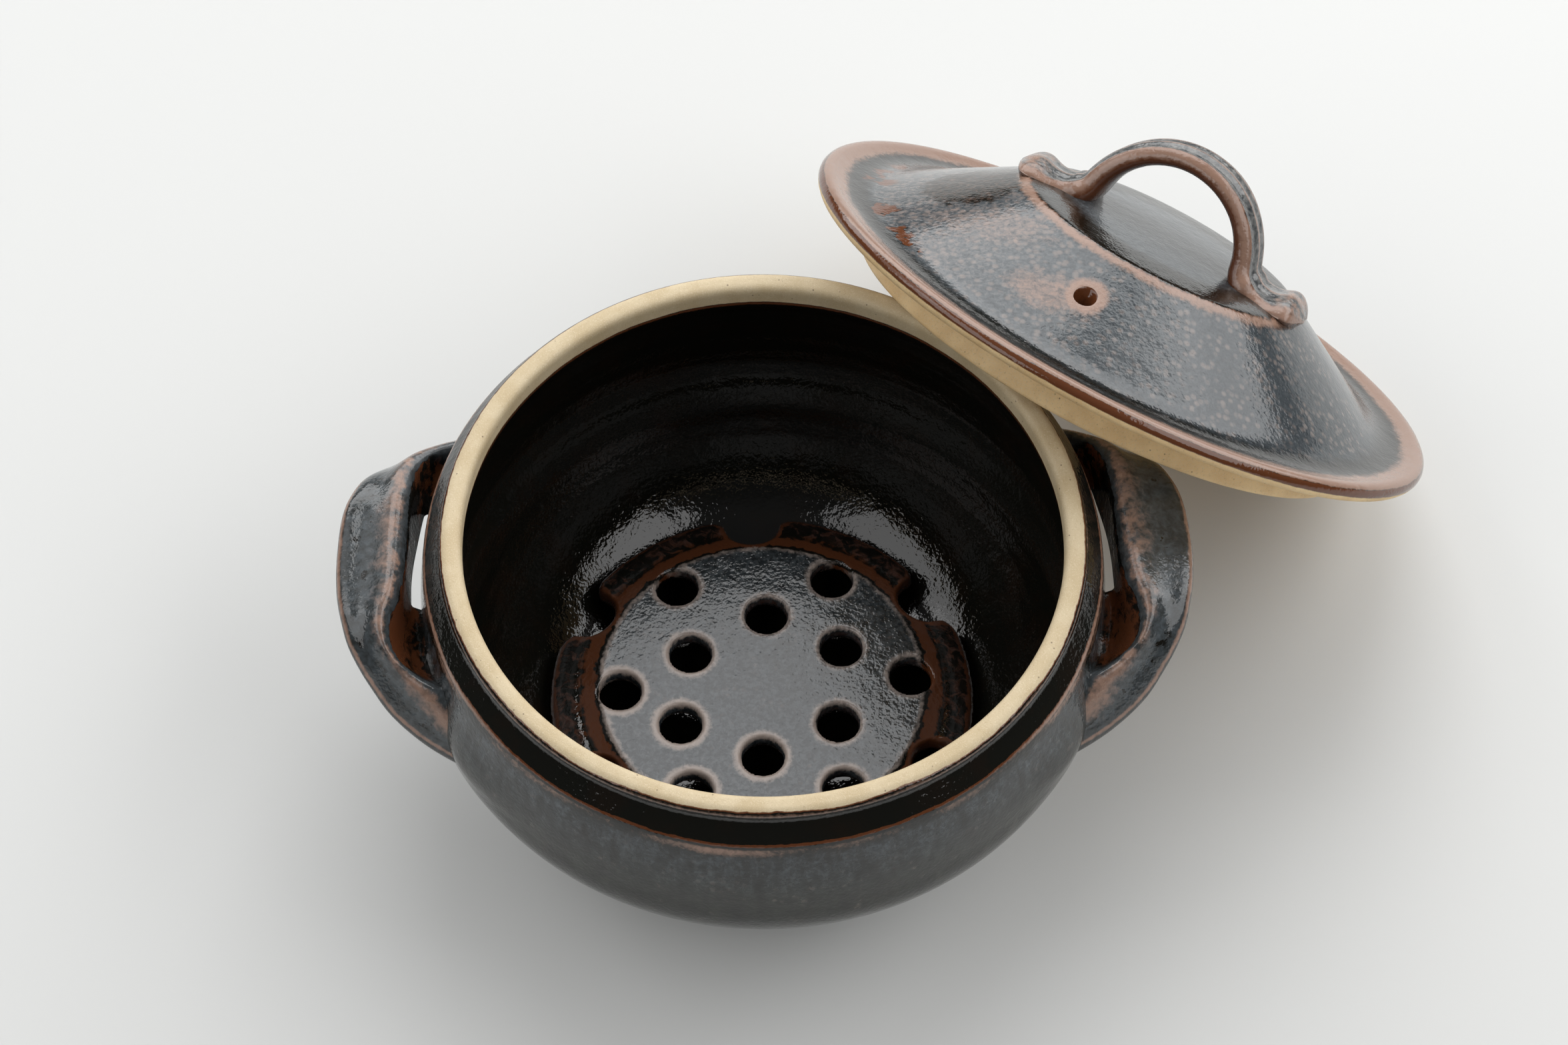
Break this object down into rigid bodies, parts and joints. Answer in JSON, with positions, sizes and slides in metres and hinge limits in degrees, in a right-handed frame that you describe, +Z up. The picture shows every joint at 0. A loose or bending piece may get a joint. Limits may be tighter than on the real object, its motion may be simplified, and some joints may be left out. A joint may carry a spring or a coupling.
{
  "type": "ceramic steamer pot",
  "caption": "Glazed stoneware steamer: round-bellied pot with ear handles, a loose perforated steaming plate inside, and a loose domed lid with a strap handle, leaning on the rim.",
  "frame": {"origin": "centre of the pot's flat foot, on the table", "axes": "+Z up along the pot's axis; +X towards the right ear handle; +Y away from the viewer of the picture, towards the side on which the lid leans"},
  "size_m": [0.3527, 0.319, 0.1512],
  "materials": {
    "pot_glaze": "glossy black-brown glaze, rust at the edges, bare clay rim",
    "handle_glaze": "glossy black-brown glaze breaking to rust and grey-blue",
    "plate_glaze": "satin grey-blue glaze, rust at the edges",
    "lid_glaze": "satin grey-blue glaze with pinkish beige spots, rust at the edges, bare clay seat",
    "strap_glaze": "glossy rust-brown to pinkish beige glaze over flutes"
  },
  "bodies": {
    "pot": {"pot_body": "pot_glaze", "left_lug_handle": "handle_glaze", "right_lug_handle": "handle_glaze"},
    "plate": {"steamer_plate": "plate_glaze"},
    "lid": {"lid_dome": "lid_glaze", "lid_strap_handle": "strap_glaze"}
  },
  "joints": [
    {"name": "lid_lift", "type": "slide", "parent": "pot", "child": "lid", "axis": [0.4162, 0.5173, 0.7478], "range_m": [0, 0.15]},
    {"name": "plate_lift", "type": "slide", "parent": "pot", "child": "plate", "axis": [0, 0, 1], "range_m": [0, 0.15]}
  ]
}
